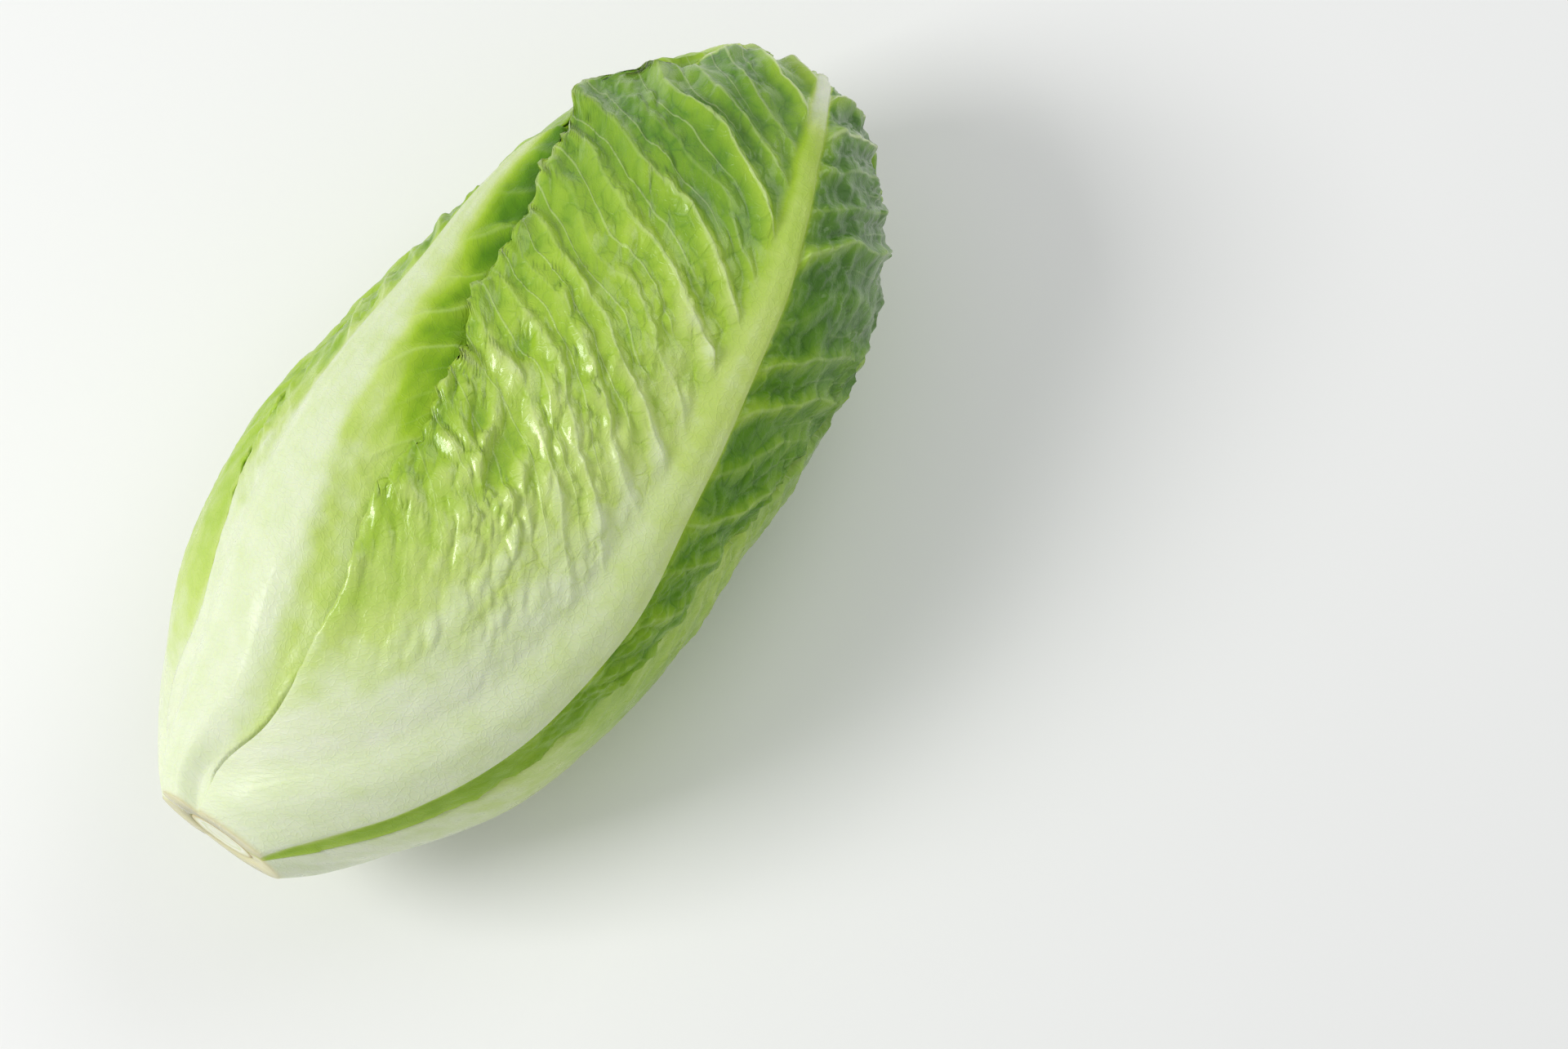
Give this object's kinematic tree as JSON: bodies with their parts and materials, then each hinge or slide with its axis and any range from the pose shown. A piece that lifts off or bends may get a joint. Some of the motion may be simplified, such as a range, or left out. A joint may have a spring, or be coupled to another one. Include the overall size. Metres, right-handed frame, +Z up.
{
  "type": "romaine lettuce head",
  "caption": "Closed head of romaine lettuce, cut at the stem and lying on its side, with broad ribbed leaves nested round a heart.",
  "frame": {"origin": "on the surface it rests on, below the middle of the head's box", "axes": "+X along the head from the cut stem to the leaf tips, +Z up"},
  "size_m": [0.2358, 0.1149, 0.1029],
  "materials": {
    "leaf_green": "waxy satin leaf, white at the rib",
    "heart_green": "waxy satin leaf",
    "stem_white": "moist cut stem"
  },
  "bodies": {
    "root": {"front_leaf": "leaf_green", "back_left_leaf": "leaf_green", "left_leaf": "leaf_green", "under_leaf": "leaf_green", "middle_leaf_1": "heart_green", "middle_leaf_2": "heart_green", "middle_leaf_3": "heart_green", "middle_leaf_4": "heart_green", "middle_leaf_5": "heart_green", "heart_leaf_1": "heart_green", "heart_leaf_2": "heart_green", "heart_leaf_3": "heart_green", "heart_bud": "heart_green", "stem": "stem_white"}
  },
  "joints": []
}
